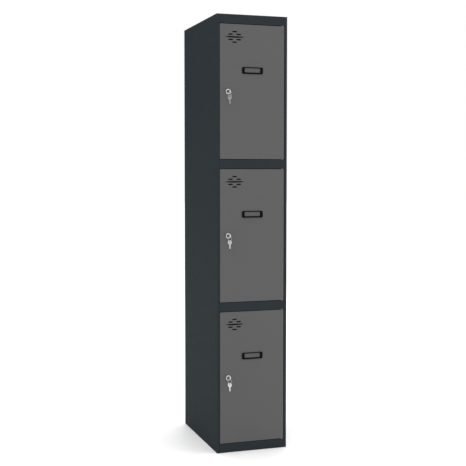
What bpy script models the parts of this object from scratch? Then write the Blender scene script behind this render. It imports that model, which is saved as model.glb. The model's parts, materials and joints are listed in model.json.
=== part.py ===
"""Three-door steel locker cabinet, as an assembly of separate pieces.

Metres, +Z up, the doors face -Y. The origin is the bottom centre of the whole
object's box, with the keys that stand in front of the doors counted in.
"""
import math

import bmesh
import bpy
from mathutils import Matrix, Vector

# Driving dimensions
WIDTH = 0.305
DEPTH = 0.500
HEIGHT = 1.800
SHEET = 0.0008
GAP = 0.0003
TIERS = ("bottom", "middle", "top")
RAIL_HEIGHT = 0.037
STILE_WIDTH = 0.011
JAMB_DEPTH = 0.020
STOP_WIDTH = 0.010
BEND_RADIUS = 0.0012
REAR_FLANGE = 0.014
FLOOR_FLANGE = 0.016
FLOOR_FLANGE_INSET = 0.030
TRAY_DEPTH = 0.0128

# Doors
DOOR_GAP = 0.002
DOOR_DEPTH = 0.0165
DOOR_LIP = 0.010
DOOR_EDGE_RADIUS = 0.0012
HINGE_INSET = 0.006
HINGE_SETBACK = 0.005
PIN_RADIUS = 0.0022
PIN_HEAD_RADIUS = 0.0034
PIN_HEAD_HEIGHT = 0.0015
PIN_REACH = 0.008
PIN_CHAMFER = 0.0008
STIFFENER_CROWN = 0.030
STIFFENER_FOOT = 0.014
STIFFENER_DEPTH = 0.010
STIFFENER_LENGTH = 0.440
BUMPER_RADIUS = 0.0035
BUMPER_CHAMFER = 0.0008
BUMPER_END_DISTANCE = 0.090

# Vent slits: rows of one, two, one long, two and one, in a diamond
VENT_FROM_LEFT = 0.063
VENT_BELOW_TOP = 0.052
VENT_PITCH = 0.0106
VENT_HEIGHT = 0.0046
VENT_SHORT = 0.020
VENT_LONG = 0.077
VENT_PAIR_OFFSET = 0.0175
VENT_END_RADIUS = 0.0022

# Card holder
CARD_WIDTH = 0.090
CARD_HEIGHT = 0.027
CARD_DEPTH = 0.003
CARD_CORNER = 0.005
CARD_WINDOW_WIDTH = 0.068
CARD_WINDOW_HEIGHT = 0.018
CARD_WINDOW_CORNER = 0.002
CARD_WINDOW_RISE = 0.0012
CARD_BELOW_TOP = 0.186
CARD_PEG_RADIUS = 0.0018
CARD_PEG_OFFSET = 0.0395
CARD_PEG_LENGTH = 0.004

# Cam lock: distances along the lock axis count backwards from the door's face
LOCK_FROM_LEFT = 0.036
BEZEL_RADIUS = 0.0110
BEZEL_PROUD = 0.0026
BEZEL_CHAMFER = 0.0009
BARREL_RADIUS = 0.0093
BARREL_END = 0.0222
PLUG_RADIUS = 0.0060
PLUG_FACE = -0.0018
PLUG_END = 0.0225
TAIL_WIDTH = 0.0070
TAIL_END = 0.0266
KEYWAY_WIDTH = 0.0025
KEYWAY_HEIGHT = 0.0077
KEYWAY_END = 0.0120
NUT_ACROSS_FLATS = 0.024
NUT_THICKNESS = 0.0035
CAM_THICKNESS = 0.0020
CAM_WIDTH = 0.016
CAM_REACH = 0.034
CAM_HEEL = 0.009
SCREW_HEAD_RADIUS = 0.0052
SCREW_HEAD_HEIGHT = 0.0026
SCREW_SHANK_RADIUS = 0.0016
SCREW_SHANK_END = 0.0165

# Keys and key ring
KEY_REACH = 0.024
KEY_THICKNESS = 0.0018
BOW_RADIUS = 0.0095
BOW_HOLE_RADIUS = 0.0026
BOW_HOLE_EDGE = 0.0043
BLADE_HALF_HEIGHT = 0.0035
BLADE_END = 0.0115
SPARE_KEY_TURN = math.radians(40)
RING_RADIUS = 0.0085
RING_WIRE_RADIUS = 0.0008

# Worked out from the driving dimensions
LEFT_X = -WIDTH / 2
RIGHT_X = WIDTH / 2
BOW_CENTRE = KEY_REACH - BOW_RADIUS
BOW_HOLE = KEY_REACH - BOW_HOLE_EDGE
SPARE_KEY_HALF_DEPTH = (BOW_RADIUS * math.cos(SPARE_KEY_TURN)
                        + KEY_THICKNESS / 2 * math.sin(SPARE_KEY_TURN))
FRONT_Y = (BOW_HOLE + SPARE_KEY_HALF_DEPTH - DEPTH) / 2
BACK_Y = FRONT_Y + DEPTH
FRAME_TOP = HEIGHT - SHEET - GAP
OPENING_HEIGHT = (HEIGHT - (len(TIERS) + 1) * RAIL_HEIGHT) / len(TIERS)
TIER_PITCH = OPENING_HEIGHT + RAIL_HEIGHT
JAMB_X = RIGHT_X - STILE_WIDTH
DOOR_WIDTH = 2 * (JAMB_X - DOOR_GAP)
DOOR_HEIGHT = OPENING_HEIGHT - 2 * DOOR_GAP
HINGE_X = DOOR_WIDTH / 2 - HINGE_INSET
HINGE_Y = FRONT_Y + HINGE_SETBACK
LOCK_X = LOCK_FROM_LEFT - DOOR_WIDTH / 2
INSIDE_X = RIGHT_X - SHEET - GAP
WIRE_DROP = BOW_HOLE_RADIUS - RING_WIRE_RADIUS - GAP

# Colours (linear), roughness and metallic of each finish
FINISHES = {
    "body_paint": ((0.030, 0.038, 0.043), 0.45, 0.0),
    "door_paint": ((0.122, 0.122, 0.122), 0.45, 0.0),
    "black_plastic": ((0.010, 0.010, 0.010), 0.40, 0.0),
    "chrome": ((0.75, 0.75, 0.76), 0.15, 1.0),
    "zinc_steel": ((0.50, 0.50, 0.48), 0.35, 1.0),
    "black_zinc": ((0.035, 0.035, 0.037), 0.30, 1.0),
    "rubber": ((0.020, 0.020, 0.020), 0.80, 0.0),
}

AXIS_ORDER = {"X": (1, 2, 0), "Y": (0, 2, 1), "Z": (0, 1, 2)}
ROUND = 32
CUT_REACH = 0.004
SMOOTH_ANGLE = math.radians(35)


def clear_scene():
    for item in list(bpy.data.objects):
        bpy.data.objects.remove(item, do_unlink=True)


def finished_material(name):
    """A Principled material for one finish, made once and then shared."""
    material = bpy.data.materials.get(name)
    if material is None:
        colour, roughness, metallic = FINISHES[name]
        material = bpy.data.materials.new(name)
        material.use_nodes = True
        shader = material.node_tree.nodes["Principled BSDF"]
        shader.inputs["Base Color"].default_value = (*colour, 1.0)
        shader.inputs["Roughness"].default_value = roughness
        shader.inputs["Metallic"].default_value = metallic
    return material


def new_mesh(name, bm):
    """A mesh from a closed bmesh, with its faces turned outwards."""
    bmesh.ops.recalc_face_normals(bm, faces=bm.faces)
    mesh = bpy.data.meshes.new(name)
    bm.to_mesh(mesh)
    bm.free()
    return mesh


def box(name, low, high, bevel=0.0):
    """A box between two corners, with all its edges rounded if bevel is set."""
    bm = bmesh.new()
    bmesh.ops.create_cube(bm, size=1.0)
    size = Vector(high) - Vector(low)
    centre = (Vector(high) + Vector(low)) / 2
    bmesh.ops.scale(bm, vec=size, verts=bm.verts)
    bmesh.ops.translate(bm, vec=centre, verts=bm.verts)
    if bevel:
        bmesh.ops.bevel(bm, geom=bm.edges[:], offset=bevel, segments=2, profile=0.5, affect="EDGES")
    return new_mesh(name, bm)


def prism(name, outline, axis, start, end):
    """An outline of two-dimensional points, extruded along one axis."""
    first, second, along = AXIS_ORDER[axis]
    bm = bmesh.new()
    corners = []
    for u, v in outline:
        point = Vector((0.0, 0.0, 0.0))
        point[first] = u
        point[second] = v
        point[along] = start
        corners.append(bm.verts.new(point))
    face = bm.faces.new(corners)
    step = Vector((0.0, 0.0, 0.0))
    step[along] = end - start
    extruded = bmesh.ops.extrude_face_region(bm, geom=[face])
    raised = [item for item in extruded["geom"] if isinstance(item, bmesh.types.BMVert)]
    bmesh.ops.translate(bm, vec=step, verts=raised)
    return new_mesh(name, bm)


def turned(name, profile, axis="Y", segments=ROUND):
    """A lathe-turned piece: (radius, distance along the axis) points, spun once round."""
    direction = Vector((0.0, 1.0, 0.0)) if axis == "Y" else Vector((0.0, 0.0, 1.0))
    bm = bmesh.new()
    verts = [bm.verts.new(Vector((radius, 0.0, 0.0)) + direction * along) for radius, along in profile]
    edges = [bm.edges.new(pair) for pair in zip(verts, verts[1:])]
    if profile[0][0] > 0:
        edges.append(bm.edges.new((verts[-1], verts[0])))
    bmesh.ops.spin(bm, geom=verts + edges, cent=(0, 0, 0), axis=direction,
                   angle=2 * math.pi, steps=segments, use_merge=True)
    bmesh.ops.remove_doubles(bm, verts=bm.verts, dist=0.000001)
    return new_mesh(name, bm)


def circle(radius, centre=(0.0, 0.0), segments=ROUND):
    turns = [2 * math.pi * step / segments for step in range(segments)]
    return [(centre[0] + radius * math.cos(turn), centre[1] + radius * math.sin(turn)) for turn in turns]


def rounded_rectangle(width, height, radius, steps=4):
    """Outline of a rectangle with round corners, centred on the origin."""
    outline = []
    for quarter, (side, rise) in enumerate(((1, 1), (-1, 1), (-1, -1), (1, -1))):
        centre = (side * (width / 2 - radius), rise * (height / 2 - radius))
        for step in range(steps + 1):
            turn = math.pi / 2 * (quarter + step / steps)
            outline.append((centre[0] + radius * math.cos(turn), centre[1] + radius * math.sin(turn)))
    return outline


def folded_sheet(path, radius=BEND_RADIUS, steps=3):
    """Outline of sheet metal whose middle follows a path, with rounded bends."""
    points = [Vector(point) for point in path]
    middle = [(points[0], (points[1] - points[0]).normalized())]
    for before, corner, after in zip(points, points[1:], points[2:]):
        incoming = (corner - before).normalized()
        outgoing = (after - corner).normalized()
        turn = incoming.angle_signed(outgoing)
        start = corner - incoming * radius * math.tan(abs(turn) / 2)
        side = Vector((-incoming.y, incoming.x)) * (-1 if turn > 0 else 1)
        for step in range(steps + 1):
            rotation = Matrix.Rotation(-turn * step / steps, 2)
            middle.append((start + side * radius - rotation @ side * radius, rotation @ incoming))
    middle.append((points[-1], (points[-1] - points[-2]).normalized()))
    left = []
    right = []
    for point, along in middle:
        offset = Vector((-along.y, along.x)) * SHEET / 2
        left.append(tuple(point + offset))
        right.append(tuple(point - offset))
    return left + right[::-1]


def joined(name, meshes):
    """Several meshes as one, for a cutter with separate bodies."""
    bm = bmesh.new()
    for mesh in meshes:
        bm.from_mesh(mesh)
    return new_mesh(name, bm)


def moved(mesh, offset):
    mesh.transform(Matrix.Translation(offset))
    return mesh


def combined(mesh, tool_mesh, operation="DIFFERENCE"):
    """The mesh after an exact Boolean with another mesh."""
    body = bpy.data.objects.new("boolean_body", mesh)
    tool = bpy.data.objects.new("boolean_tool", tool_mesh)
    for item in (body, tool):
        bpy.context.scene.collection.objects.link(item)
    modifier = body.modifiers.new("boolean", "BOOLEAN")
    modifier.operation = operation
    modifier.solver = "EXACT"
    modifier.object = tool
    bpy.context.view_layer.update()
    evaluated = body.evaluated_get(bpy.context.evaluated_depsgraph_get())
    result = bpy.data.meshes.new_from_object(evaluated)
    result.name = mesh.name
    for item in (body, tool):
        bpy.data.objects.remove(item, do_unlink=True)
    return result


def place(name, mesh, finish, location=(0, 0, 0), parent=None, turn=None):
    """One named object, which keeps its place when it has a parent."""
    item = bpy.data.objects.new(name, mesh)
    bpy.context.scene.collection.objects.link(item)
    item.location = location
    if turn:
        item.rotation_euler = turn
    if parent:
        item.parent = parent
        item.matrix_parent_inverse = parent.matrix_world.inverted()
    if not mesh.materials:
        mesh.materials.append(finished_material(finish))
        mesh.shade_smooth()
        mesh.set_sharp_from_angle(angle=SMOOTH_ANGLE)
    return item


def pivot(name, location, parent=None):
    """An empty on a joint's axis."""
    empty = place_empty(name, location)
    if parent:
        empty.parent = parent
        empty.matrix_parent_inverse = parent.matrix_world.inverted()
    bpy.context.view_layer.update()
    return empty


def place_empty(name, location):
    empty = bpy.data.objects.new(name, None)
    bpy.context.scene.collection.objects.link(empty)
    empty.location = location
    empty.empty_display_size = 0.02
    return empty


# Carcass


def side_panel_mesh(side):
    """Side sheet with its rear flange, front stile, jamb, door stop and floor flange."""
    half = SHEET / 2
    sheet_x = RIGHT_X - half
    jamb_x = JAMB_X + half
    stop_y = FRONT_Y + JAMB_DEPTH + half
    path = [
        (RIGHT_X - REAR_FLANGE, BACK_Y - half),
        (sheet_x, BACK_Y - half),
        (sheet_x, FRONT_Y + half),
        (jamb_x, FRONT_Y + half),
        (jamb_x, stop_y),
        (JAMB_X - STOP_WIDTH, stop_y),
    ]
    outline = [(side * x, y) for x, y in folded_sheet(path)]
    sheet = prism("side_panel", outline, "Z", 0.0, FRAME_TOP)
    ends = sorted((side * (RIGHT_X - half), side * (RIGHT_X - FLOOR_FLANGE)))
    low = (ends[0], FRONT_Y + FLOOR_FLANGE_INSET, 0.0)
    high = (ends[1], BACK_Y - FLOOR_FLANGE_INSET, SHEET)
    return combined(sheet, box("floor_flange", low, high), "UNION")


def rail_mesh(low, high, pin_below, pin_above):
    """Channel across the front, with a hole in each flange that holds a hinge pin."""
    half = SHEET / 2
    flange_end = FRONT_Y + JAMB_DEPTH - 2 * GAP
    path = [
        (flange_end, high - half),
        (FRONT_Y + half, high - half),
        (FRONT_Y + half, low + half),
        (flange_end, low + half),
    ]
    reach = JAMB_X - GAP
    rail = prism("rail", folded_sheet(path), "X", -reach, reach)
    hole = circle(PIN_RADIUS + GAP, (HINGE_X, HINGE_Y), 16)
    for wanted, level in ((pin_below, low), (pin_above, high)):
        if wanted:
            rail = combined(rail, prism("pin_hole", hole, "Z", level - CUT_REACH, level + CUT_REACH))
    return rail


def tray_mesh():
    """Shelf or floor: a sheet with all four edges turned down; its top is at height 0."""
    front = FRONT_Y + JAMB_DEPTH + SHEET + GAP
    back = BACK_Y - 2 * SHEET - 2 * GAP
    tray = box("tray", (-INSIDE_X, front, -TRAY_DEPTH), (INSIDE_X, back, 0.0))
    low = (SHEET - INSIDE_X, front + SHEET, -2 * TRAY_DEPTH)
    high = (INSIDE_X - SHEET, back - SHEET, -SHEET)
    return combined(tray, box("tray_inside", low, high))


def build_carcass():
    place("left_side_panel", side_panel_mesh(-1), "body_paint")
    place("right_side_panel", side_panel_mesh(1), "body_paint")
    back_y = BACK_Y - SHEET - GAP
    back = box("back", (-INSIDE_X, back_y - SHEET, 0.0), (INSIDE_X, back_y, FRAME_TOP))
    place("back_panel", back, "body_paint")
    top = box("top", (LEFT_X, FRONT_Y, HEIGHT - SHEET), (RIGHT_X, BACK_Y, HEIGHT))
    place("top_panel", top, "body_paint")
    tray = tray_mesh()
    for tier, name in enumerate(("base_panel", "lower_shelf", "upper_shelf")):
        place(name, tray, "body_paint", (0, 0, RAIL_HEIGHT + tier * TIER_PITCH))
    rails = ("bottom_rail", "lower_mid_rail", "upper_mid_rail", "top_rail")
    for level, name in enumerate(rails):
        low = level * TIER_PITCH
        high = min(low + RAIL_HEIGHT, FRAME_TOP)
        mesh = rail_mesh(low, high, level > 0, level < len(rails) - 1)
        place(name, mesh, "body_paint")


# Door pieces, each made around the point where it is placed


def vent_cutters(left, top):
    """Slit cutters, in a diamond of five rows."""
    rows = (
        (2, (0,), VENT_SHORT),
        (1, (-1, 1), VENT_SHORT),
        (0, (0,), VENT_LONG),
        (-1, (-1, 1), VENT_SHORT),
        (-2, (0,), VENT_SHORT),
    )
    cutters = []
    for row, places, length in rows:
        for place_in_row in places:
            outline = rounded_rectangle(length, VENT_HEIGHT, VENT_END_RADIUS, 3)
            cutter = prism("vent", outline, "Y", -CUT_REACH, CUT_REACH)
            x = left + VENT_FROM_LEFT + place_in_row * VENT_PAIR_OFFSET
            z = top - VENT_BELOW_TOP + row * VENT_PITCH
            cutters.append(moved(cutter, (x, -HINGE_SETBACK, z)))
    return cutters


def door_panel_mesh():
    """Folded door pan, around the hinge axis at the door's lower edge."""
    left = HINGE_INSET - DOOR_WIDTH
    face = -HINGE_SETBACK
    back = face + DOOR_DEPTH
    pan = box("door_panel", (left, face, 0), (HINGE_INSET, back, DOOR_HEIGHT), DOOR_EDGE_RADIUS)
    inside = box(
        "door_inside",
        (left + SHEET, face + SHEET, SHEET),
        (HINGE_INSET - SHEET, back - SHEET, DOOR_HEIGHT - SHEET),
    )
    mouth = box(
        "door_mouth",
        (left + DOOR_LIP, back - 2 * SHEET, DOOR_LIP),
        (HINGE_INSET - DOOR_LIP, back + SHEET, DOOR_HEIGHT - DOOR_LIP),
    )
    pan = combined(pan, combined(inside, mouth, "UNION"))
    cutters = vent_cutters(left, DOOR_HEIGHT)
    lock_hole = prism("lock_hole", circle(BARREL_RADIUS + GAP), "Y", -CUT_REACH, CUT_REACH)
    cutters.append(moved(lock_hole, (left + LOCK_FROM_LEFT, face, DOOR_HEIGHT / 2)))
    for side in (-1, 1):
        peg_hole = prism("peg_hole", circle(CARD_PEG_RADIUS + GAP, segments=12), "Y", -CUT_REACH, CUT_REACH)
        peg_x = left + DOOR_WIDTH / 2 + side * CARD_PEG_OFFSET
        cutters.append(moved(peg_hole, (peg_x, face, DOOR_HEIGHT - CARD_BELOW_TOP)))
    for level in (0.0, DOOR_HEIGHT):
        pin_hole = prism("pin_hole", circle(PIN_RADIUS + GAP, segments=16), "Z", -CUT_REACH, CUT_REACH)
        cutters.append(moved(pin_hole, (0, 0, level)))
    return combined(pan, joined("door_holes", cutters))


def stiffener_mesh():
    """Hat section behind the door's middle, around the door's lower edge."""
    middle = HINGE_INSET - DOOR_WIDTH / 2
    foot_y = SHEET + GAP + SHEET / 2 - HINGE_SETBACK
    crown_y = foot_y + STIFFENER_DEPTH
    outer = STIFFENER_CROWN / 2 + STIFFENER_FOOT
    inner = STIFFENER_CROWN / 2
    path = [(middle - outer, foot_y), (middle - inner, foot_y), (middle - inner, crown_y),
            (middle + inner, crown_y), (middle + inner, foot_y), (middle + outer, foot_y)]
    start = (DOOR_HEIGHT - STIFFENER_LENGTH) / 2
    return prism("door_stiffener", folded_sheet(path), "Z", start, start + STIFFENER_LENGTH)


def hinge_pin_mesh():
    """Riveted stud: head inside the rail, collar in the door gap, pin in the door."""
    head_top = -SHEET - GAP
    profile = [
        (0, head_top - PIN_HEAD_HEIGHT),
        (PIN_HEAD_RADIUS, head_top - PIN_HEAD_HEIGHT),
        (PIN_HEAD_RADIUS, head_top),
        (PIN_RADIUS, head_top),
        (PIN_RADIUS, GAP),
        (PIN_HEAD_RADIUS, GAP),
        (PIN_HEAD_RADIUS, DOOR_GAP - GAP),
        (PIN_RADIUS, DOOR_GAP - GAP),
        (PIN_RADIUS, DOOR_GAP + PIN_REACH - PIN_CHAMFER),
        (PIN_RADIUS - PIN_CHAMFER, DOOR_GAP + PIN_REACH),
        (0, DOOR_GAP + PIN_REACH),
    ]
    return turned("hinge_pin", profile, "Z", 20)


def bumper_mesh():
    """Rubber pad between the door stop and the closed door."""
    thickness = JAMB_DEPTH - DOOR_DEPTH - 2 * GAP
    profile = [
        (0, 0),
        (BUMPER_RADIUS - BUMPER_CHAMFER, 0),
        (BUMPER_RADIUS, BUMPER_CHAMFER),
        (BUMPER_RADIUS, thickness),
        (0, thickness),
    ]
    return turned("bumper", profile, "Y", 20)


def card_holder_mesh():
    """Open frame on the door's face, with a peg behind each end."""
    back = -GAP
    front = back - CARD_DEPTH
    frame = prism("card_holder", rounded_rectangle(CARD_WIDTH, CARD_HEIGHT, CARD_CORNER), "Y", front, back)
    window = rounded_rectangle(CARD_WINDOW_WIDTH, CARD_WINDOW_HEIGHT, CARD_WINDOW_CORNER)
    window = [(x, z + CARD_WINDOW_RISE) for x, z in window]
    frame = combined(frame, prism("window", window, "Y", -CUT_REACH, CUT_REACH))
    pegs = []
    for side in (-1, 1):
        outline = circle(CARD_PEG_RADIUS, (side * CARD_PEG_OFFSET, 0.0), 12)
        pegs.append(prism("peg", outline, "Y", back - CARD_DEPTH / 2, CARD_PEG_LENGTH))
    return combined(frame, joined("pegs", pegs), "UNION")


# Lock pieces, around the lock's axis at the door's face


def lock_housing_mesh():
    bore = PLUG_RADIUS + GAP
    profile = [
        (bore, -BEZEL_PROUD),
        (BEZEL_RADIUS - BEZEL_CHAMFER, -BEZEL_PROUD),
        (BEZEL_RADIUS, BEZEL_CHAMFER - BEZEL_PROUD),
        (BEZEL_RADIUS, -GAP),
        (BARREL_RADIUS, -GAP),
        (BARREL_RADIUS, BARREL_END),
        (bore, BARREL_END),
    ]
    return turned("lock_housing", profile)


def lock_nut_mesh():
    start = SHEET + GAP
    across_corners = NUT_ACROSS_FLATS / math.cos(math.pi / 6)
    nut = prism("lock_nut", circle(across_corners / 2, segments=6), "Y", start, start + NUT_THICKNESS)
    bore = prism("nut_bore", circle(BARREL_RADIUS + GAP), "Y", 0.0, 2 * NUT_THICKNESS)
    return combined(nut, bore)


def lock_plug_mesh():
    """Plug with a keyway in front, and a square tail and a screw hole behind."""
    profile = [(0, PLUG_FACE), (PLUG_RADIUS, PLUG_FACE), (PLUG_RADIUS, PLUG_END), (0, PLUG_END)]
    plug = turned("lock_plug", profile)
    half_tail = TAIL_WIDTH / 2
    tail = box("tail", (-half_tail, SCREW_SHANK_END, -half_tail), (half_tail, TAIL_END, half_tail))
    plug = combined(plug, tail, "UNION")
    half_width = KEYWAY_WIDTH / 2
    half_height = KEYWAY_HEIGHT / 2
    low = (-half_width, -CUT_REACH, -half_height)
    keyway = box("keyway", low, (half_width, KEYWAY_END, half_height))
    bore = circle(SCREW_SHANK_RADIUS + GAP, segments=16)
    screw_hole = prism("screw_hole", bore, "Y", SCREW_SHANK_END - GAP, TAIL_END + CUT_REACH)
    return combined(plug, joined("plug_cuts", [keyway, screw_hole]))


def lock_cam_mesh():
    """Flat cam, pointing up while the lock is open."""
    half = CAM_WIDTH / 2
    outline = [(-half, CAM_REACH - half / 2), (-half / 2, CAM_REACH), (half / 2, CAM_REACH)]
    outline += [(half, CAM_REACH - half / 2)]
    for step in range(9):
        turn = -math.pi * step / 8
        outline.append((half * math.cos(turn), half * math.sin(turn) - (CAM_HEEL - half)))
    start = PLUG_END + GAP
    cam = prism("lock_cam", outline, "Y", start, start + CAM_THICKNESS)
    hole = TAIL_WIDTH / 2 + GAP
    return combined(cam, box("cam_hole", (-hole, PLUG_END, -hole), (hole, TAIL_END, hole)))


def cam_screw_mesh():
    seat = TAIL_END + GAP
    profile = [
        (0, SCREW_SHANK_END),
        (SCREW_SHANK_RADIUS, SCREW_SHANK_END),
        (SCREW_SHANK_RADIUS, seat),
        (SCREW_HEAD_RADIUS, seat),
        (SCREW_HEAD_RADIUS, seat + SCREW_HEAD_HEIGHT / 2),
        (SCREW_HEAD_RADIUS * 0.6, seat + SCREW_HEAD_HEIGHT),
        (0, seat + SCREW_HEAD_HEIGHT),
    ]
    return turned("cam_screw", profile)


def key_mesh():
    """Flat key in the YZ plane: round bow in front, blade behind."""
    shoulder = math.asin(BLADE_HALF_HEIGHT / BOW_RADIUS)
    sweep = 2 * (math.pi - shoulder)
    outline = []
    steps = 28
    for step in range(steps + 1):
        turn = shoulder + sweep * step / steps
        outline.append((BOW_RADIUS * math.cos(turn) - BOW_CENTRE, BOW_RADIUS * math.sin(turn)))
    tip = BLADE_HALF_HEIGHT / 2
    outline += [
        (BLADE_END - tip, -BLADE_HALF_HEIGHT),
        (BLADE_END, -tip),
        (BLADE_END, tip),
        (BLADE_END - tip, BLADE_HALF_HEIGHT),
    ]
    half = KEY_THICKNESS / 2
    key = prism("key", outline, "X", -half, half)
    hole = prism("bow_hole", circle(BOW_HOLE_RADIUS, (-BOW_HOLE, 0.0), 20), "X", -2 * half, 2 * half)
    return combined(key, hole)


def key_ring_mesh():
    """Wire ring in the XZ plane, hanging from a pivot at its topmost point."""
    bm = bmesh.new()
    section = [bm.verts.new((RING_RADIUS + u, v, 0)) for u, v in circle(RING_WIRE_RADIUS, segments=8)]
    edges = [bm.edges.new((a, b)) for a, b in zip(section, section[1:] + section[:1])]
    bmesh.ops.spin(bm, geom=section + edges, cent=(0, 0, 0), axis=(0, 1, 0),
                   angle=2 * math.pi, steps=ROUND, use_merge=True)
    bmesh.ops.remove_doubles(bm, verts=bm.verts, dist=0.000001)
    return moved(new_mesh("key_ring", bm), (0, 0, -RING_RADIUS))


def spare_key_mesh(key):
    """The same key, hanging by its bow from the bottom of the ring, around the ring's centre."""
    spare = key.copy()
    spare.name = "spare_key"
    hang = Matrix.Rotation(math.radians(-90), 4, "X") @ Matrix.Translation((0, BOW_HOLE, 0))
    turn = Matrix.Rotation(SPARE_KEY_TURN, 4, "Z")
    drop = Matrix.Translation((0, 0, -RING_RADIUS - WIRE_DROP))
    spare.transform(drop @ turn @ hang)
    return spare


def build_door_meshes():
    key = key_mesh()
    return {
        "door_panel": door_panel_mesh(),
        "door_stiffener": stiffener_mesh(),
        "hinge_pin": hinge_pin_mesh(),
        "bumper": bumper_mesh(),
        "card_holder": card_holder_mesh(),
        "lock_housing": lock_housing_mesh(),
        "lock_nut": lock_nut_mesh(),
        "lock_plug": lock_plug_mesh(),
        "lock_cam": lock_cam_mesh(),
        "cam_screw": cam_screw_mesh(),
        "key": key,
        "key_ring": key_ring_mesh(),
        "spare_key": spare_key_mesh(key),
    }


def build_tier(tier, floor, meshes):
    """One door with its hinge pins, bumpers, card holder, lock, keys and ring."""
    door_bottom = floor + DOOR_GAP
    ceiling = floor + OPENING_HEIGHT
    lock_z = door_bottom + DOOR_HEIGHT / 2
    place(f"{tier}_lower_hinge_pin", meshes["hinge_pin"], "zinc_steel", (HINGE_X, HINGE_Y, floor))
    place(f"{tier}_upper_hinge_pin", meshes["hinge_pin"], "zinc_steel", (HINGE_X, HINGE_Y, ceiling),
          turn=(math.pi, 0, 0))
    bumper_x = DOOR_LIP / 2 - JAMB_X
    bumper_y = FRONT_Y + DOOR_DEPTH + GAP
    for name, z in (("lower", floor + BUMPER_END_DISTANCE), ("upper", ceiling - BUMPER_END_DISTANCE)):
        place(f"{tier}_{name}_bumper", meshes["bumper"], "rubber", (bumper_x, bumper_y, z))

    hinge = pivot(f"{tier}_door_hinge", (HINGE_X, HINGE_Y, door_bottom))
    place(f"{tier}_door_panel", meshes["door_panel"], "door_paint", hinge.location, hinge)
    place(f"{tier}_door_stiffener", meshes["door_stiffener"], "door_paint", hinge.location, hinge)
    card_place = (0, FRONT_Y, door_bottom + DOOR_HEIGHT - CARD_BELOW_TOP)
    place(f"{tier}_card_holder", meshes["card_holder"], "black_plastic", card_place, hinge)
    lock_place = (LOCK_X, FRONT_Y, lock_z)
    place(f"{tier}_lock_housing", meshes["lock_housing"], "chrome", lock_place, hinge)
    place(f"{tier}_lock_nut", meshes["lock_nut"], "zinc_steel", lock_place, hinge)

    lock_axis = pivot(f"{tier}_lock_axis", lock_place, hinge)
    place(f"{tier}_lock_plug", meshes["lock_plug"], "black_zinc", lock_place, lock_axis)
    place(f"{tier}_lock_cam", meshes["lock_cam"], "zinc_steel", lock_place, lock_axis)
    place(f"{tier}_cam_screw", meshes["cam_screw"], "zinc_steel", lock_place, lock_axis)

    key_slide = pivot(f"{tier}_key_slide", lock_place, lock_axis)
    place(f"{tier}_key", meshes["key"], "chrome", lock_place, key_slide)
    ring_top = (LOCK_X, FRONT_Y - BOW_HOLE, lock_z - WIRE_DROP)
    ring_swing = pivot(f"{tier}_ring_swing", ring_top, key_slide)
    place(f"{tier}_key_ring", meshes["key_ring"], "chrome", ring_top, ring_swing)
    ring_centre = (ring_top[0], ring_top[1], ring_top[2] - RING_RADIUS)
    spare_pivot = pivot(f"{tier}_spare_key_pivot", ring_centre, ring_swing)
    place(f"{tier}_spare_key", meshes["spare_key"], "chrome", ring_centre, spare_pivot)


def main():
    clear_scene()
    build_carcass()
    meshes = build_door_meshes()
    for level, tier in enumerate(TIERS):
        build_tier(tier, RAIL_HEIGHT + level * TIER_PITCH, meshes)


main()
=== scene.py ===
"""Looks of the three-door steel locker cabinet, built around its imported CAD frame."""
import json
import math

import bmesh
import bpy
from mathutils import Matrix, Vector


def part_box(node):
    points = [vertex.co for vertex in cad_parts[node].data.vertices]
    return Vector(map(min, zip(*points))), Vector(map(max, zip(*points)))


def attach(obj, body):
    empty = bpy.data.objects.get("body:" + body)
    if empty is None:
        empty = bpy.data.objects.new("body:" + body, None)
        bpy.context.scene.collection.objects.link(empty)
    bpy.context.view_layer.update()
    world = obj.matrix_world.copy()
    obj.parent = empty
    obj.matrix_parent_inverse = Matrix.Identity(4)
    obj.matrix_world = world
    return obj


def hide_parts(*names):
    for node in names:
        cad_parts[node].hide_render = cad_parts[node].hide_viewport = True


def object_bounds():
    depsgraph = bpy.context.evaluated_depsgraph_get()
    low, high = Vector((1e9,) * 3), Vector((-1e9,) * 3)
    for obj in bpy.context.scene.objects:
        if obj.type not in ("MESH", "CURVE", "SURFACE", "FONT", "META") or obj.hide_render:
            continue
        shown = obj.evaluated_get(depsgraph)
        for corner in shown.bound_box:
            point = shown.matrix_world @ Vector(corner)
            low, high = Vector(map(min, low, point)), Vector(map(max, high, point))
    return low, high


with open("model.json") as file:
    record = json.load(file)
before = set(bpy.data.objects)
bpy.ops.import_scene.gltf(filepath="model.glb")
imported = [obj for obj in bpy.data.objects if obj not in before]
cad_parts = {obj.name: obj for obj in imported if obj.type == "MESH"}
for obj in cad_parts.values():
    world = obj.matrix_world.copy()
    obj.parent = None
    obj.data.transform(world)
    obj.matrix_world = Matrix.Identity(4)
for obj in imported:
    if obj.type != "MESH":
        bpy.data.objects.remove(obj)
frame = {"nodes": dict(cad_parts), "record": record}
cad_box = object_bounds()
nodes = frame["nodes"]
SLOTS = {entry["node"]: entry["material_slot"] for entry in frame["record"]["subparts"]}
BODY_OF = {
    node: body for body, members in frame["record"]["behaviour"]["bodies"].items() for node in members
}

TIERS = ("bottom", "middle", "top")

# Sizes that the frame's boxes don't give, in metres: door
SHEET = 0.0008
DOOR_LIP = 0.010
DOOR_EDGE_RADIUS = 0.0014
DOOR_SHOULDER = 0.009
DOOR_SHOULDER_DROP = 0.00045
VENT_FROM_LEFT = 0.063
VENT_BELOW_TOP = 0.052
VENT_PITCH = 0.0106
VENT_HEIGHT = 0.0056
VENT_SHORT = 0.0215
VENT_LONG = 0.079
VENT_PAIR_OFFSET = 0.0175
PIN_HOLE_RADIUS = 0.0025

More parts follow.
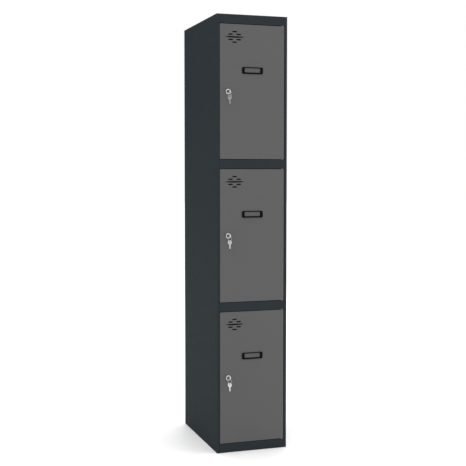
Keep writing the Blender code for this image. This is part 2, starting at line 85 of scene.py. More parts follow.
# Card holder
CARD_CORNER_RADIUS = 0.0055
CARD_WINDOW_WIDTH = 0.068
CARD_WINDOW_HEIGHT = 0.018
CARD_WINDOW_RADIUS = 0.0022
CARD_WINDOW_RISE = 0.0012
CARD_STEP_WIDTH = 0.0015
CARD_STEP_DEPTH = 0.0007
CARD_STEP_RADIUS = 0.0030
CARD_PEG_RADIUS = 0.0018
CARD_PEG_OFFSET = 0.0395

# Lock
BEZEL_RADIUS = 0.0110
BARREL_RADIUS = 0.0093
THREAD_PITCH = 0.0010
THREAD_DEPTH = 0.0006
THREAD_START = 0.0004
PLUG_RADIUS = 0.0060
PLUG_CHAMFER = 0.0005
KEYWAY_WIDTH = 0.0025
KEYWAY_HEIGHT = 0.0077
KEYWAY_END = 0.0120
TAIL_WIDTH = 0.0070
TAIL_LENGTH = 0.0041
SCREW_HOLE_RADIUS = 0.0019
SCREW_HOLE_START = 0.0162
SCREW_HEAD_HEIGHT = 0.0026
SCREW_SHANK_RADIUS = 0.0016
SCREW_SLOT_HALF_WIDTH = 0.0005
SCREW_SLOT_DEPTH = 0.0013

# Keys and ring
BOW_RADIUS = 0.0095
BOW_HOLE_RADIUS = 0.0026
BOW_HOLE_EDGE = 0.0043
BLADE_HALF_HEIGHT = 0.0035
BLADE_END = 0.0115
BLADE_TIP_RISE = 0.0004
BIT_CUT_DEPTHS = (0.0014, 0.0005, 0.0018, 0.0009, 0.0015)
BIT_CUT_PITCH = 0.0023
KEY_THICKNESS = 0.0018
KEY_RELIEF = 0.0003
KEY_GROOVE_START = -0.0030
KEY_GROOVE_OFFSET = 0.0010
KEY_GROOVE_HALF_WIDTH = 0.0004
RING_RADIUS = 0.0085
RING_WIRE_RADIUS = 0.00042
RING_TURNS = 2
RING_STEP_START = 0.42
RING_STEP_LENGTH = 0.16
SPARE_KEY_TURN = math.radians(40)

# Fits, edges and meshes
CLEARANCE = 0.0003
OVERCUT = 0.001
FACE_CUT = 0.004
PIN_CUT = 0.003
DOOR_SOFTNESS = 0.00022
CARD_SOFTNESS = 0.00055
PLUG_SOFTNESS = 0.00015
KEY_SOFTNESS = 0.00018
NODE_SOFTNESS = {"body_paint": 0.00030, "door_paint": 0.00025, "zinc_steel": 0.00025, "rubber": 0.0002}
SMOOTH_ANGLE = math.radians(35)
SHORTEST_EDGE = 0.00001
SAME_POINT = 0.000001

# Widths of the lightened bands along edges, less than the sheet's thickness: rubbed paint with a painted
# highlight on powder coat, and a painted highlight on plastic and rubber
RUBBED_AND_HIGHLIT_EDGE = 0.0003
PAINTED_HIGHLIGHT_EDGE = 0.0006

# Brightness of the studio at the horizon and straight overhead
HORIZON_LIGHT = 0.15
OVERHEAD_LIGHT = 1.9

# Lights: place from the cabinet's middle, width and height in metres, power in watts
LIGHTS = {
    "key_light": ((-1.1, -3.9, 2.2), (2.4, 2.4), 24.0),
    "fill_light": ((3.0, -1.6, 0.7), (2.6, 3.2), 26.0),
    "back_light": ((1.6, 4.2, 1.8), (2.4, 2.4), 55.0),
}
FLOOR_SIZE = 30.0

# Camera: left of the cabinet's middle, in front of the middle of its depth, above the floor
CAMERA_LEFT = 1.297
CAMERA_IN_FRONT = 3.956
CAMERA_HEIGHT = 1.1625
CAMERA_YAW = math.radians(18.13)
CAMERA_DOWN = math.radians(3.12)
CAMERA_LENS = 73.6
CAMERA_SENSOR = 36.0
CAMERA_SHIFT = -0.02


# Materials


class Nodes:
    """A material's node tree with short ways to add and link nodes."""

    def __init__(self, name):
        self.material = bpy.data.materials.new(name)
        self.material.use_nodes = True
        self.tree = self.material.node_tree
        self.shader = self.tree.nodes["Principled BSDF"]
        coordinates = self.tree.nodes.new("ShaderNodeTexCoord")
        self.place = coordinates.outputs["Object"]

    def add(self, kind, links=None, **settings):
        """One node: settings are its properties or inputs, links join its inputs."""
        node = self.tree.nodes.new(kind)
        for key, value in settings.items():
            if hasattr(node, key):
                setattr(node, key, value)
            else:
                node.inputs[key.replace("_", " ")].default_value = value
        for key, source in (links or {}).items():
            self.tree.links.new(source, node.inputs[key])
        return node

    def noise(self, scale, detail=2.0, roughness=0.5, stretch=None):
        """Noise in metres of the part, from 0 to 1; stretch scales its axes."""
        place = self.place
        if stretch:
            place = self.add("ShaderNodeMapping", {"Vector": place}, Scale=stretch).outputs["Vector"]
        noise = self.add("ShaderNodeTexNoise", {"Vector": place}, Scale=scale, Detail=detail)
        noise.inputs["Roughness"].default_value = roughness
        return noise.outputs["Fac"]

    def spread(self, value, low, high, start=0.3, end=0.7):
        """A value from start to end, mapped to low to high."""
        node = self.add("ShaderNodeMapRange", {"Value": value})
        for name, number in (("From Min", start), ("From Max", end), ("To Min", low), ("To Max", high)):
            node.inputs[name].default_value = number
        return node.outputs["Result"]

    def mix(self, factor, first, second):
        """A colour between two colours or colour outputs."""
        node = self.add("ShaderNodeMix", data_type="RGBA")
        self.tree.links.new(factor, node.inputs["Factor"])
        for socket, colour in ((node.inputs[6], first), (node.inputs[7], second)):
            if isinstance(colour, bpy.types.NodeSocket):
                self.tree.links.new(colour, socket)
            else:
                socket.default_value = (*colour, 1.0)
        return node.outputs[2]

    def edges(self, radius, start=0.02, end=0.35):
        """A mask that is 1 on convex and concave edges and 0 on flat faces."""
        bevel = self.add("ShaderNodeBevel", samples=4, Radius=radius)
        geometry = self.add("ShaderNodeNewGeometry")
        dot = self.add("ShaderNodeVectorMath", operation="DOT_PRODUCT")
        self.tree.links.new(bevel.outputs["Normal"], dot.inputs[0])
        self.tree.links.new(geometry.outputs["Normal"], dot.inputs[1])
        bend = self.add("ShaderNodeMath", operation="SUBTRACT")
        bend.inputs[0].default_value = 1.0
        self.tree.links.new(dot.outputs["Value"], bend.inputs[1])
        return self.spread(bend.outputs["Value"], 0.0, 1.0, start, end)

    def product(self, first, second):
        node = self.add("ShaderNodeMath", operation="MULTIPLY")
        for socket, value in zip(node.inputs, (first, second)):
            if isinstance(value, bpy.types.NodeSocket):
                self.tree.links.new(value, socket)
            else:
                socket.default_value = value
        return node.outputs["Value"]

    def bump(self, height, distance, strength=1.0, under=None):
        node = self.add("ShaderNodeBump", {"Height": height}, Distance=distance, Strength=strength)
        if under:
            self.tree.links.new(under, node.inputs["Normal"])
        return node.outputs["Normal"]

    def link(self, socket, source):
        self.tree.links.new(source, self.shader.inputs[socket])

    def set(self, **values):
        for key, value in values.items():
            self.shader.inputs[key.replace("_", " ")].default_value = value


def shade(colour, factor):
    return tuple(channel * factor for channel in colour)


def powder_coat(name, colour, rubbed_highlight_colour, gloss):
    """Powder paint: orange-peel skin, faint cloudiness, and edges lightened as slight rubbing with a painted
    highlight.
    """
    made = Nodes(name)
    clouds = made.spread(made.noise(3.0, 4.0), 0.0, 1.0)
    speckle = made.spread(made.noise(1400.0, 2.0, 0.7), 0.0, 1.0, 0.25, 0.75)
    base = made.mix(clouds, shade(colour, 0.98), shade(colour, 1.02))
    base = made.mix(made.product(speckle, 0.5), base, shade(colour, 1.10))
    # Lighter colour along edges, broken up by noise: partly rubbed paint, partly a painted highlight
    scuff_and_sheen_noise = made.spread(made.noise(160.0, 3.0, 0.6), 0.0, 1.0, 0.45, 0.70)
    rubbed_highlight_mask = made.product(made.product(made.edges(RUBBED_AND_HIGHLIT_EDGE), scuff_and_sheen_noise), 0.4)
    made.link("Base Color", made.mix(rubbed_highlight_mask, base, rubbed_highlight_colour))
    made.link("Roughness", made.spread(made.noise(45.0, 3.0), 0.55, 0.62))
    peel = made.bump(made.noise(900.0, 2.0, 0.5), 0.00001, 0.25)
    made.link("Normal", made.bump(made.noise(2600.0, 1.0), 0.00001, 0.2, peel))
    made.set(Metallic=0.0, Specular_IOR_Level=gloss)
    return made.material


def bright_plate(name, colour, roughness, stretch):
    """Plated metal with fine polishing lines and a few dull spots."""
    made = Nodes(name)
    lines = made.noise(900.0, 3.0, 0.6, stretch)
    spots = made.spread(made.noise(300.0, 3.0), 0.0, 1.0, 0.5, 0.75)
    base = made.mix(spots, colour, shade(colour, 0.80))
    made.link("Base Color", base)
    made.link("Roughness", made.spread(lines, roughness * 0.75, roughness * 1.35))
    made.link("Normal", made.bump(lines, 0.00001, 0.35))
    made.set(Metallic=1.0)
    return made.material


def zinc_plate(name):
    """Zinc-plated steel: blotchy crystal tint and satin finish."""
    made = Nodes(name)
    grain = made.add("ShaderNodeTexVoronoi", {"Vector": made.place}, Scale=420.0)
    tint = made.spread(grain.outputs["Distance"], 0.0, 1.0, 0.1, 0.8)
    base = made.mix(tint, (0.46, 0.47, 0.48), (0.58, 0.57, 0.52))
    made.link("Base Color", base)
    made.link("Roughness", made.spread(made.noise(200.0, 3.0), 0.28, 0.46))
    made.link("Normal", made.bump(made.noise(1500.0, 2.0), 0.00001, 0.4))
    made.set(Metallic=1.0)
    return made.material


def moulded_plastic(name, colour, roughness):
    """Black moulded plastic with a fine spark-eroded grain, and edges lightened as a painted highlight."""
    made = Nodes(name)
    grain = made.noise(2200.0, 3.0, 0.6)
    base = made.mix(made.spread(made.noise(60.0, 3.0), 0.0, 1.0), shade(colour, 0.8), shade(colour, 1.3))
    # Edges lightened towards three times the colour: a painted highlight
    base = made.mix(made.product(made.edges(PAINTED_HIGHLIGHT_EDGE), 0.5), base, shade(colour, 3.0))
    made.link("Base Color", base)
    made.link("Roughness", made.spread(grain, roughness * 0.85, roughness * 1.2))
    made.link("Normal", made.bump(grain, 0.00003, 0.5))
    made.set(Metallic=0.0, Specular_IOR_Level=0.05)
    return made.material


def floor_material(name):
    made = Nodes(name)
    tone = made.spread(made.noise(1.5, 4.0), 0.0, 1.0)
    made.link("Base Color", made.mix(tone, (0.86, 0.86, 0.86), (0.90, 0.90, 0.90)))
    made.link("Roughness", made.spread(made.noise(20.0, 3.0), 0.55, 0.70))
    made.set(Specular_IOR_Level=0.2)
    return made.material


MATERIALS = {
    # The second colour of each coat is its lighter edge colour: rubbed paint with a painted highlight
    "body_paint": powder_coat("body_powder_coat", (0.0238, 0.0300, 0.0341), (0.060, 0.068, 0.074), 0.01),
    "door_paint": powder_coat("door_powder_coat", (0.0940, 0.0940, 0.0940), (0.14, 0.14, 0.14), 0.10),
    "black_plastic": moulded_plastic("card_holder_plastic", (0.0022, 0.0022, 0.0024), 0.45),
    "chrome": bright_plate("nickel_plate", (0.64, 0.635, 0.62), 0.30, (1.0, 1.0, 6.0)),
    "zinc_steel": zinc_plate("zinc_plated_steel"),
    # Near-black plate for the lock plug: painted shade standing in for the keyway and the shadow of the
    # key's bow
    "black_zinc": bright_plate("plug_painted_shade_plate", (0.035, 0.035, 0.037), 0.30, (1.0, 1.0, 1.0)),
    "rubber": moulded_plastic("bumper_rubber", (0.010, 0.010, 0.010), 0.75),
}


# Mesh helpers


def new_mesh(name, bm):
    bmesh.ops.recalc_face_normals(bm, faces=bm.faces)
    mesh = bpy.data.meshes.new(name)
    bm.to_mesh(mesh)
    bm.free()
    return mesh


def box(low, high, radius=0.0, segments=4):
    """A box between two corners, with round edges if a radius is given."""
    bm = bmesh.new()
    bmesh.ops.create_cube(bm, size=1.0)
    bmesh.ops.scale(bm, vec=Vector(high) - Vector(low), verts=bm.verts)
    bmesh.ops.translate(bm, vec=(Vector(high) + Vector(low)) / 2, verts=bm.verts)
    if radius:
        bmesh.ops.bevel(bm, geom=bm.edges[:], offset=radius, segments=segments, profile=0.5, affect="EDGES")
    return new_mesh("box", bm)


def prism(outline, axis, start, end, centre=(0, 0, 0)):
    """An outline, given in the plane across an axis, extruded along that axis."""
    first, second, along = {"X": (1, 2, 0), "Y": (0, 2, 1), "Z": (0, 1, 2)}[axis]
    bm = bmesh.new()
    corners = []
    for u, v in outline:
        point = Vector(centre)
        point[first] += u
        point[second] += v
        point[along] += start
        corners.append(bm.verts.new(point))
    face = bm.faces.new(corners)
    step = Vector((0.0, 0.0, 0.0))
    step[along] = end - start
    extruded = bmesh.ops.extrude_face_region(bm, geom=[face])
    raised = [item for item in extruded["geom"] if isinstance(item, bmesh.types.BMVert)]
    bmesh.ops.translate(bm, vec=step, verts=raised)
    return new_mesh("prism", bm)


def turned(profile, centre, segments=64):
    """A piece turned round the Y axis through centre: (radius, distance behind it) points."""
    bm = bmesh.new()
    verts = [bm.verts.new((radius, along, 0.0)) for radius, along in profile]
    edges = [bm.edges.new(pair) for pair in zip(verts, verts[1:])]
    if profile[0][0] > 0:
        edges.append(bm.edges.new((verts[-1], verts[0])))
    bmesh.ops.spin(bm, geom=verts + edges, cent=(0, 0, 0), axis=(0, 1, 0),
                   angle=2 * math.pi, steps=segments, use_merge=True)
    bmesh.ops.remove_doubles(bm, verts=bm.verts, dist=SAME_POINT)
    bmesh.ops.translate(bm, vec=centre, verts=bm.verts)
    return new_mesh("turned", bm)


def circle(radius, centre=(0.0, 0.0), segments=48):
    turns = [2 * math.pi * step / segments for step in range(segments)]
    return [(centre[0] + radius * math.cos(turn), centre[1] + radius * math.sin(turn)) for turn in turns]


def rounded_rectangle(width, height, radius, steps=8):
    outline = []
    for quarter, (side, rise) in enumerate(((1, 1), (-1, 1), (-1, -1), (1, -1))):
        centre = (side * (width / 2 - radius), rise * (height / 2 - radius))
        for step in range(steps + 1):
            turn = math.pi / 2 * (quarter + step / steps)
            outline.append((centre[0] + radius * math.cos(turn), centre[1] + radius * math.sin(turn)))
    return outline


def lens(length, height, steps=14):
    """A slit that is tallest in its middle and tapers to blunt ends."""
    top = []
    for step in range(steps + 1):
        along = 2 * step / steps - 1
        rise = (1 - abs(along) ** 3) ** 0.5
        top.append((-along * length / 2, max(rise, 0.12) * height / 2))
    return top + [(-x, -z) for x, z in top]


def joined(meshes):
    bm = bmesh.new()
    for mesh in meshes:
        bm.from_mesh(mesh)
    return new_mesh("joined", bm)


def cleaned(mesh):
    """The mesh without the slivers and hair-thin edges that Booleans leave."""
    bm = bmesh.new()
    bm.from_mesh(mesh)
    bmesh.ops.remove_doubles(bm, verts=bm.verts, dist=SHORTEST_EDGE)
    bmesh.ops.dissolve_degenerate(bm, edges=bm.edges, dist=SHORTEST_EDGE)
    return new_mesh(mesh.name, bm)


def combined(mesh, tool_mesh, operation="DIFFERENCE"):
    """The mesh after an exact Boolean with another mesh."""
    body = bpy.data.objects.new("boolean_body", mesh)
    tool = bpy.data.objects.new("boolean_tool", tool_mesh)
    for item in (body, tool):
        bpy.context.scene.collection.objects.link(item)
    modifier = body.modifiers.new("boolean", "BOOLEAN")
    modifier.operation = operation
    modifier.solver = "EXACT"
    modifier.object = tool
    bpy.context.view_layer.update()
    result = bpy.data.meshes.new_from_object(body.evaluated_get(bpy.context.evaluated_depsgraph_get()))
    for item in (body, tool):
        bpy.data.objects.remove(item, do_unlink=True)
    return cleaned(result)


def soften(item, width, segments=2):
    """Rounds an object's sharp edges and evens its shading."""
    bevel = item.modifiers.new("soft_edges", "BEVEL")
    bevel.width = width
    bevel.segments = segments
    bevel.limit_method = "ANGLE"
    bevel.angle_limit = SMOOTH_ANGLE
    bevel.miter_outer = "MITER_ARC"
    weld = item.modifiers.new("weld", "WELD")
    weld.merge_threshold = SHORTEST_EDGE
    normals = item.modifiers.new("even_shading", "WEIGHTED_NORMAL")
    normals.keep_sharp = True


def add_piece(name, mesh, node, edge=0.0, segments=2):
    """A finished piece that stands for a CAD node, on its body and in its finish."""
    mesh.name = name
    item = bpy.data.objects.new(name, mesh)
    bpy.context.scene.collection.objects.link(item)
    slot_name = SLOTS[node]
    mesh.materials.clear()
    mesh.materials.append(MATERIALS[slot_name])
    mesh.shade_smooth()
    mesh.set_sharp_from_angle(angle=SMOOTH_ANGLE)
    if edge:
        soften(item, edge, segments)
    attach(item, BODY_OF[node])
    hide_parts(node)
    return item


# Door


def shouldered(mesh, low, high):
    """Lets the door's face fall back a little towards its two upright edges."""
    bm = bmesh.new()
    bm.from_mesh(mesh)
    for x in (low.x + DOOR_SHOULDER, high.x - DOOR_SHOULDER):
        everything = bm.verts[:] + bm.edges[:] + bm.faces[:]
        bmesh.ops.bisect_plane(bm, geom=everything, plane_co=(x, 0, 0), plane_no=(1, 0, 0), dist=SAME_POINT)
    for vert in bm.verts:
        from_edge = min(vert.co.x - low.x, high.x - vert.co.x)
        if vert.co.y < low.y + DOOR_EDGE_RADIUS and from_edge < DOOR_SHOULDER:
            vert.co.y += DOOR_SHOULDER_DROP * (1 - from_edge / DOOR_SHOULDER)
    return new_mesh("shouldered", bm)


def vent_cutters(low, high):
    """Slits in five rows that make a diamond: one, two, one long, two and one."""
    rows = ((2, (0,), VENT_SHORT), (1, (-1, 1), VENT_SHORT), (0, (0,), VENT_LONG),
            (-1, (-1, 1), VENT_SHORT), (-2, (0,), VENT_SHORT))
    cutters = []
    for row, places, length in rows:
        for place in places:
            x = low.x + VENT_FROM_LEFT + place * VENT_PAIR_OFFSET
            z = high.z - VENT_BELOW_TOP + row * VENT_PITCH
            cutters.append(prism(lens(length, VENT_HEIGHT), "Y", -FACE_CUT, FACE_CUT, (x, low.y, z)))
    return cutters


def door_mesh(tier, lock, pin):
    """Folded door pan with soft edges, vent slits and the holes that its fittings need."""
    low, high = (Vector(corner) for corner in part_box(f"{tier}_door_panel"))
    pan = shouldered(box(low, high, DOOR_EDGE_RADIUS), low, high)
    sheet = Vector((SHEET, SHEET, SHEET))
    inside = box(low + sheet, high - sheet)
    lip = Vector((DOOR_LIP, 0, DOOR_LIP))
    mouth = box(low + lip + Vector((0, (high.y - low.y) / 2, 0)), high - lip + Vector((0, 2 * OVERCUT, 0)))
    pan = combined(pan, combined(inside, mouth, "UNION"))
    cutters = vent_cutters(low, high)
    cutters.append(prism(circle(BARREL_RADIUS + CLEARANCE), "Y", -FACE_CUT, FACE_CUT, lock))
    card_low, card_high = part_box(f"{tier}_card_holder")
    card_z = (card_low[2] + card_high[2]) / 2
    for side in (-1, 1):
        peg = circle(CARD_PEG_RADIUS + CLEARANCE, (side * CARD_PEG_OFFSET, 0.0), 24)
        cutters.append(prism(peg, "Y", -FACE_CUT, FACE_CUT, ((low.x + high.x) / 2, low.y, card_z)))
    for z in (low.z, high.z):
        hole = circle(PIN_HOLE_RADIUS, segments=32)
        cutters.append(prism(hole, "Z", -PIN_CUT, PIN_CUT, (pin.x, pin.y, z)))
    return combined(pan, joined(cutters))


def card_holder_mesh(tier):
    """Moulded frame: a window with a step round it in front, and two pegs behind."""
    low, high = (Vector(corner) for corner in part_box(f"{tier}_card_holder"))
    door_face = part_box(f"{tier}_door_panel")[0][1]
    centre = Vector(((low.x + high.x) / 2, low.y, (low.z + high.z) / 2))
    width = high.x - low.x
    height = high.z - low.z
    depth = door_face - CLEARANCE - low.y
    frame_mesh = prism(rounded_rectangle(width, height, CARD_CORNER_RADIUS), "Y", 0.0, depth, centre)
    raised = centre + Vector((0, 0, CARD_WINDOW_RISE))
    window = rounded_rectangle(CARD_WINDOW_WIDTH, CARD_WINDOW_HEIGHT, CARD_WINDOW_RADIUS)
    frame_mesh = combined(frame_mesh, prism(window, "Y", -OVERCUT, depth + OVERCUT, raised))
    step_width = CARD_WINDOW_WIDTH + 2 * CARD_STEP_WIDTH
    step_height = CARD_WINDOW_HEIGHT + 2 * CARD_STEP_WIDTH
    step = rounded_rectangle(step_width, step_height, CARD_STEP_RADIUS)
    frame_mesh = combined(frame_mesh, prism(step, "Y", -OVERCUT, CARD_STEP_DEPTH, raised))
    pegs = []
    for side in (-1, 1):
        outline = circle(CARD_PEG_RADIUS, (side * CARD_PEG_OFFSET, 0.0), 24)
        pegs.append(prism(outline, "Y", depth / 2, high.y - low.y, centre))
    return combined(frame_mesh, joined(pegs), "UNION")


# Lock and keys


def housing_mesh(lock, low_y, high_y):
    """Lock housing: stepped and polished bezel in front, threaded barrel behind."""
    bore = PLUG_RADIUS + CLEARANCE
    root = BARREL_RADIUS - THREAD_DEPTH
    proud = low_y - lock.y
    end = high_y - lock.y
    profile = [
        (bore, proud + 0.0007),
        (bore + 0.0007, proud + 0.0002),
        (bore + 0.0012, proud),
        (BEZEL_RADIUS - 0.0024, proud),
        (BEZEL_RADIUS - 0.0012, proud + 0.0004),
        (BEZEL_RADIUS - 0.0004, proud + 0.0010),
        (BEZEL_RADIUS, proud + 0.0017),
        (BEZEL_RADIUS, -CLEARANCE),
        (root, -CLEARANCE),
    ]
    for turn in range(int((end - THREAD_PITCH) / THREAD_PITCH)):
        start = THREAD_START + turn * THREAD_PITCH
        profile.append((root, start))
        profile.append((BARREL_RADIUS, start + THREAD_PITCH / 2))
    profile += [(root, end), (bore, end)]
    return turned(profile, lock)


def plug_mesh(lock, low_y, high_y):
    """Lock plug with its keyway, a square tail and a screw hole."""
    face = low_y - lock.y
    tail_end = high_y - lock.y
    shoulder = tail_end - TAIL_LENGTH
    profile = [(0, face), (PLUG_RADIUS - PLUG_CHAMFER, face), (PLUG_RADIUS, face + PLUG_CHAMFER),
               (PLUG_RADIUS, shoulder), (0, shoulder)]
    half = TAIL_WIDTH / 2
    tail = box(lock + Vector((-half, shoulder - OVERCUT, -half)), lock + Vector((half, tail_end, half)))
    plug = combined(turned(profile, lock), tail, "UNION")
    width = KEYWAY_WIDTH / 2
    height = KEYWAY_HEIGHT / 2
    keyway_low = lock + Vector((-width, face - OVERCUT, -height))
    keyway = box(keyway_low, lock + Vector((width, KEYWAY_END, height)))
    hole = prism(circle(SCREW_HOLE_RADIUS, segments=24), "Y", SCREW_HOLE_START, tail_end + OVERCUT, lock)
    return combined(plug, joined([keyway, hole]))


def screw_mesh(low, high):
    """Cam screw: shank in front, domed head with a cross recess behind."""
    radius = (high.x - low.x) / 2
    centre = Vector(((low.x + high.x) / 2, low.y, (low.z + high.z) / 2))
    end = high.y - low.y
    seat = end - SCREW_HEAD_HEIGHT
    profile = [(0, 0), (SCREW_SHANK_RADIUS, 0), (SCREW_SHANK_RADIUS, seat), (radius, seat),
               (radius, seat + 0.0010), (radius * 0.93, seat + 0.0017), (radius * 0.75, seat + 0.0023),
               (radius * 0.5, end), (0, end)]
    screw = turned(profile, centre, 48)
    arm = radius * 0.52
    for x, z in ((arm, SCREW_SLOT_HALF_WIDTH), (SCREW_SLOT_HALF_WIDTH, arm)):
        slot_low = centre + Vector((-x, end - SCREW_SLOT_DEPTH, -z))
        slot = box(slot_low, centre + Vector((x, end + OVERCUT, z)))
        screw = combined(screw, slot)
    return screw


def key_mesh(reach):
    """Flat key in the YZ plane around the lock axis: bow in front, cut blade behind."""
    bow_centre = reach - BOW_RADIUS
    shoulder = math.asin(BLADE_HALF_HEIGHT / BOW_RADIUS)
    sweep = 2 * (math.pi - shoulder)
    steps = 56
    outline = []
    for step in range(steps + 1):
        turn = shoulder + sweep * step / steps
        outline.append((BOW_RADIUS * math.cos(turn) - bow_centre, BOW_RADIUS * math.sin(turn)))
    tip = BLADE_HALF_HEIGHT / 2
    outline += [(BLADE_END - tip, -BLADE_HALF_HEIGHT), (BLADE_END, -tip), (BLADE_END, BLADE_TIP_RISE)]
    for cut, depth in enumerate(BIT_CUT_DEPTHS):
        along = BLADE_END - tip - cut * BIT_CUT_PITCH
        outline.append((along, BLADE_HALF_HEIGHT - depth))
        outline.append((along - BIT_CUT_PITCH / 3, BLADE_HALF_HEIGHT - depth))
    half = KEY_THICKNESS / 2
    key = prism(outline, "X", -half, half)
    hole = prism(circle(BOW_HOLE_RADIUS, (BOW_HOLE_EDGE - reach, 0.0)), "X", -2 * half, 2 * half)
    cuts = [hole]
    for side in (-1, 1):
        relief_start, relief_end = sorted((side * (half - KEY_RELIEF), side * (half + OVERCUT)))
        dish = circle(BOW_RADIUS * 0.5, (BOW_RADIUS * 0.3 - bow_centre, 0.0))
        cuts.append(prism(dish, "X", relief_start, relief_end))
        groove_z = side * KEY_GROOVE_OFFSET
        low = (relief_start, KEY_GROOVE_START, groove_z - KEY_GROOVE_HALF_WIDTH)
        high = (relief_end, BLADE_END + OVERCUT, groove_z + KEY_GROOVE_HALF_WIDTH)
        cuts.append(box(low, high))
    return combined(key, joined(cuts))


def split_ring_mesh(centre):
    """Double coil of spring wire, round the Y axis through centre: it steps across halfway."""
    steps = 128
    sides = 10
    bm = bmesh.new()
    rings = []
    for step in range(steps + 1):
        part = step / steps
        turn = -math.pi / 2 + 2 * math.pi * RING_TURNS * part
        outward = Vector((math.cos(turn), 0.0, math.sin(turn)))
        swing = 2 * max(0.0, min(1.0, (part - RING_STEP_START) / RING_STEP_LENGTH)) - 1
        middle = centre + outward * RING_RADIUS + Vector((0, swing * RING_WIRE_RADIUS * 1.02, 0))
        ring = []
        for side in range(sides):
            around = 2 * math.pi * side / sides
            offset = outward * math.cos(around) + Vector((0, 1, 0)) * math.sin(around)
            ring.append(bm.verts.new(middle + offset * RING_WIRE_RADIUS))
        rings.append(ring)
    for first, second in zip(rings, rings[1:]):
        for side in range(sides):
            after = (side + 1) % sides
            bm.faces.new((first[side], first[after], second[after], second[side]))
    bm.faces.new(rings[0])
    bm.faces.new(rings[-1])
    return new_mesh("split_ring", bm)


def build_lock(tier, lock):
    """Housing, plug, screw, keys and ring of one lock."""
    housing_low, housing_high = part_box(f"{tier}_lock_housing")
    add_piece(f"{tier}_housing", housing_mesh(lock, housing_low[1], housing_high[1]), f"{tier}_lock_housing")
    plug_low, plug_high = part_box(f"{tier}_lock_plug")
    plug = plug_mesh(lock, plug_low[1], plug_high[1])
    add_piece(f"{tier}_plug", plug, f"{tier}_lock_plug", PLUG_SOFTNESS)
    screw = screw_mesh(*(Vector(corner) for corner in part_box(f"{tier}_cam_screw")))
    add_piece(f"{tier}_screw", screw, f"{tier}_cam_screw")
    reach = lock.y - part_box(f"{tier}_key")[0][1]
    inserted = key_mesh(reach)
    spare = inserted.copy()
    inserted.transform(Matrix.Translation(lock))
    add_piece(f"{tier}_lock_key", inserted, f"{tier}_key", KEY_SOFTNESS)
    ring_low, ring_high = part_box(f"{tier}_key_ring")
    centre = (Vector(ring_low) + Vector(ring_high)) / 2
    add_piece(f"{tier}_split_ring", split_ring_mesh(centre), f"{tier}_key_ring")
    spare_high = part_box(f"{tier}_spare_key")[1][2]
    hang = Matrix.Rotation(math.radians(-90), 4, "X") @ Matrix.Translation((0, reach, 0))
    turn = Matrix.Rotation(SPARE_KEY_TURN, 4, "Z")
    spare.transform(Matrix.Translation((centre.x, centre.y, spare_high)) @ turn @ hang)
    add_piece(f"{tier}_hanging_key", spare, f"{tier}_spare_key", KEY_SOFTNESS)


def build_doors():
    for tier in TIERS:
        plug_low, plug_high = (Vector(corner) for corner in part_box(f"{tier}_lock_plug"))
        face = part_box(f"{tier}_door_panel")[0][1]
        lock = Vector(((plug_low.x + plug_high.x) / 2, face, (plug_low.z + plug_high.z) / 2))
        pin_low, pin_high = (Vector(corner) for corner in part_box(f"{tier}_lower_hinge_pin"))
        pin = (pin_low + pin_high) / 2
        add_piece(f"{tier}_door", door_mesh(tier, lock, pin), f"{tier}_door_panel", DOOR_SOFTNESS)
        add_piece(f"{tier}_card_frame", card_holder_mesh(tier), f"{tier}_card_holder", CARD_SOFTNESS, 4)
        build_lock(tier, lock)


def dress_frame_nodes():
    """Gives every shown CAD node its finish, and rounds its sharp edges."""
    for name, item in nodes.items():
        slot_name = SLOTS[name]
        for material_slot in item.material_slots:
            material_slot.material = MATERIALS[slot_name]
        if slot_name in NODE_SOFTNESS:
            soften(item, NODE_SOFTNESS[slot_name])


# Stage


def look_at(item, target):
    item.rotation_mode = "QUATERNION"
    item.rotation_quaternion = (Vector(target) - item.location).to_track_quat("-Z", "Y")


def add_light(name, location, target, size, power):
    data = bpy.data.lights.new(name, "AREA")
    data.shape = "RECTANGLE"
    data.size, data.size_y = size
    data.energy = power
    light = bpy.data.objects.new(name, data)
    bpy.context.scene.collection.objects.link(light)
    light.location = location
    look_at(light, target)


def build_stage(low, high):
    """Floor and soft lights."""
    bm = bmesh.new()
    bmesh.ops.create_grid(bm, x_segments=8, y_segments=8, size=FLOOR_SIZE)
    floor = bpy.data.objects.new("floor", new_mesh("floor", bm))
    floor.location.z = low.z
    floor.data.materials.append(floor_material("pale_floor"))
    bpy.context.scene.collection.objects.link(floor)
    middle = (low + high) / 2
    for name, (offset, size, power) in LIGHTS.items():
        add_light(name, middle + Vector(offset), middle, size, power)


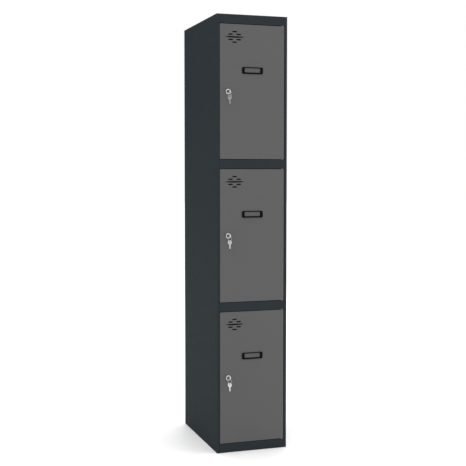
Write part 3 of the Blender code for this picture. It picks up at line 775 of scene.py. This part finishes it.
def build_world():
    """Light that grows from the horizon upwards, and a white backdrop for the camera."""
    world = bpy.data.worlds.new("studio")
    world.use_nodes = True
    tree = world.node_tree
    sky = tree.nodes["Background"]
    place = tree.nodes.new("ShaderNodeTexCoord")
    split = tree.nodes.new("ShaderNodeSeparateXYZ")
    rise = tree.nodes.new("ShaderNodeMapRange")
    rise.interpolation_type = "SMOOTHSTEP"
    rise.inputs["To Min"].default_value = HORIZON_LIGHT
    rise.inputs["To Max"].default_value = OVERHEAD_LIGHT
    tree.links.new(place.outputs["Generated"], split.inputs["Vector"])
    tree.links.new(split.outputs["Z"], rise.inputs["Value"])
    tree.links.new(rise.outputs["Result"], sky.inputs["Strength"])
    backdrop = tree.nodes.new("ShaderNodeBackground")
    for background in (sky, backdrop):
        background.inputs["Color"].default_value = (1.0, 1.0, 1.0, 1.0)
    path = tree.nodes.new("ShaderNodeLightPath")
    mix = tree.nodes.new("ShaderNodeMixShader")
    tree.links.new(path.outputs["Is Camera Ray"], mix.inputs["Fac"])
    tree.links.new(sky.outputs["Background"], mix.inputs[1])
    tree.links.new(backdrop.outputs["Background"], mix.inputs[2])
    tree.links.new(mix.outputs["Shader"], tree.nodes["World Output"].inputs["Surface"])
    bpy.context.scene.world = world


def build_camera():
    """Camera above the cabinet's middle height, in front of it and to its left."""
    data = bpy.data.cameras.new("camera")
    camera = bpy.data.objects.new("camera", data)
    bpy.context.scene.collection.objects.link(camera)
    body_low, body_high = (Vector(corner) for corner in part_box("left_side_panel"))
    body_middle_y = (body_low.y + body_high.y) / 2
    camera.location = (-CAMERA_LEFT, body_middle_y - CAMERA_IN_FRONT, CAMERA_HEIGHT)
    camera.rotation_euler = (math.radians(90) - CAMERA_DOWN, 0.0, -CAMERA_YAW)
    data.sensor_width = CAMERA_SENSOR
    data.lens = CAMERA_LENS
    data.shift_y = CAMERA_SHIFT
    bpy.context.scene.camera = camera
    bpy.context.scene.view_settings.view_transform = "Standard"


dress_frame_nodes()
build_doors()
stage_low, stage_high = (Vector(corner) for corner in cad_box)
build_stage(stage_low, stage_high)
build_world()
build_camera()
